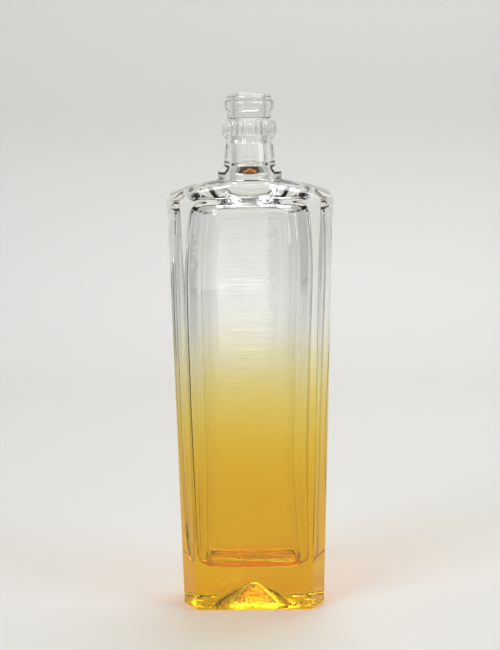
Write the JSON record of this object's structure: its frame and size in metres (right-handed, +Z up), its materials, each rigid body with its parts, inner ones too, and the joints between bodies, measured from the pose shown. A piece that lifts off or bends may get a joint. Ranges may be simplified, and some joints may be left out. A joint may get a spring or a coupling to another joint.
{
  "type": "glass spirits bottle",
  "caption": "Tall rectangular glass spirits bottle with chamfered corners, low domed shoulder, ribbed neck ring, thick base and an amber fade toward the foot.",
  "frame": {"origin": "centre of the underside, on the surface the bottle stands on", "axes": "+Z up along the neck's axis, +X to the right across the wide face, -Y out of the front face"},
  "size_m": [0.0948, 0.0598, 0.3024],
  "materials": {
    "glass": "clear polished glass, sprayed a transparent amber that fades out above mid height"
  },
  "bodies": {
    "root": {"glass_bottle": "glass"}
  },
  "joints": []
}
